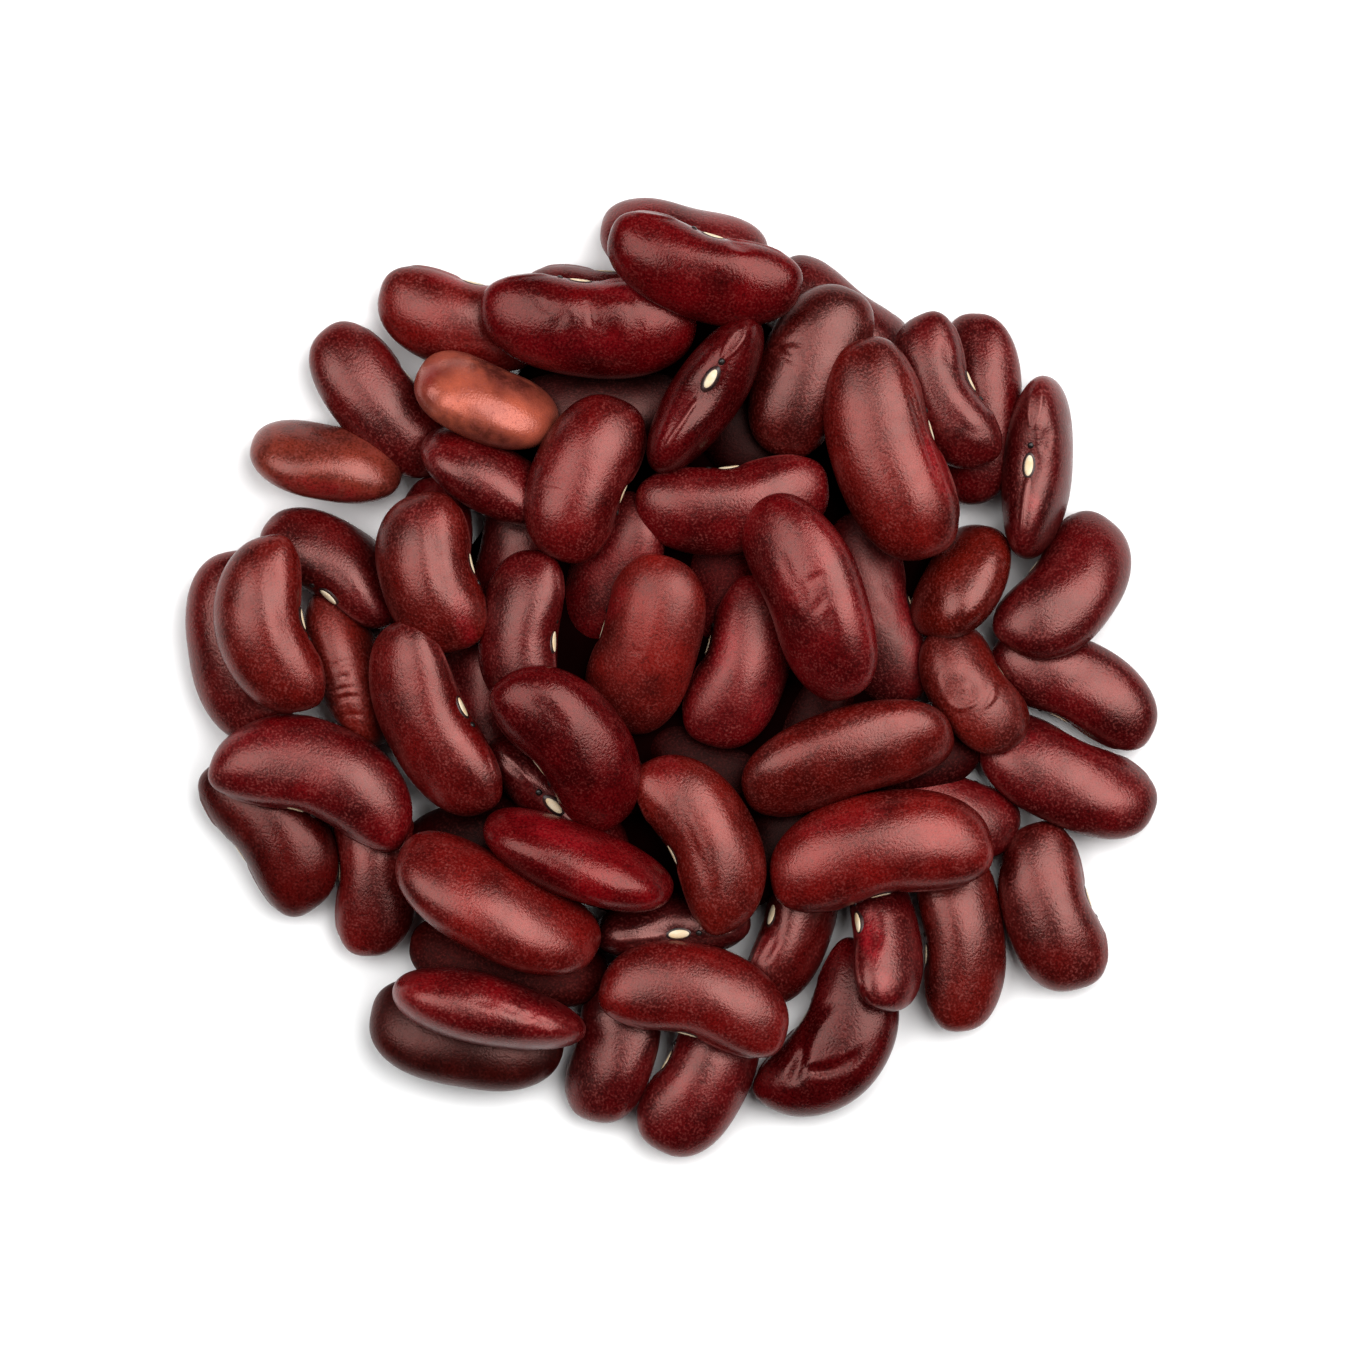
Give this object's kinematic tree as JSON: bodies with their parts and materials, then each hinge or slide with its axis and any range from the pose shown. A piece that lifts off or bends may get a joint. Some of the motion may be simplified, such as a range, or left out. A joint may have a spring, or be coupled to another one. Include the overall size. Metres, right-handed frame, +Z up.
{
  "type": "heap of dried kidney beans",
  "caption": "Loose, round, low heap of dried dark red kidney beans lying on a surface, two to three beans deep, with an uneven outline.",
  "frame": {"origin": "on the ground under the middle of the heap's outline", "axes": "+Z is up, the heap's thin direction; +Y is the top of the picture and +X its right"},
  "size_m": [0.0853, 0.084, 0.0144],
  "materials": {
    "bean_skin": "dark wine-red dried bean skin, satin"
  },
  "bodies": {
    "root": {"bean_heap": "bean_skin"}
  },
  "joints": []
}
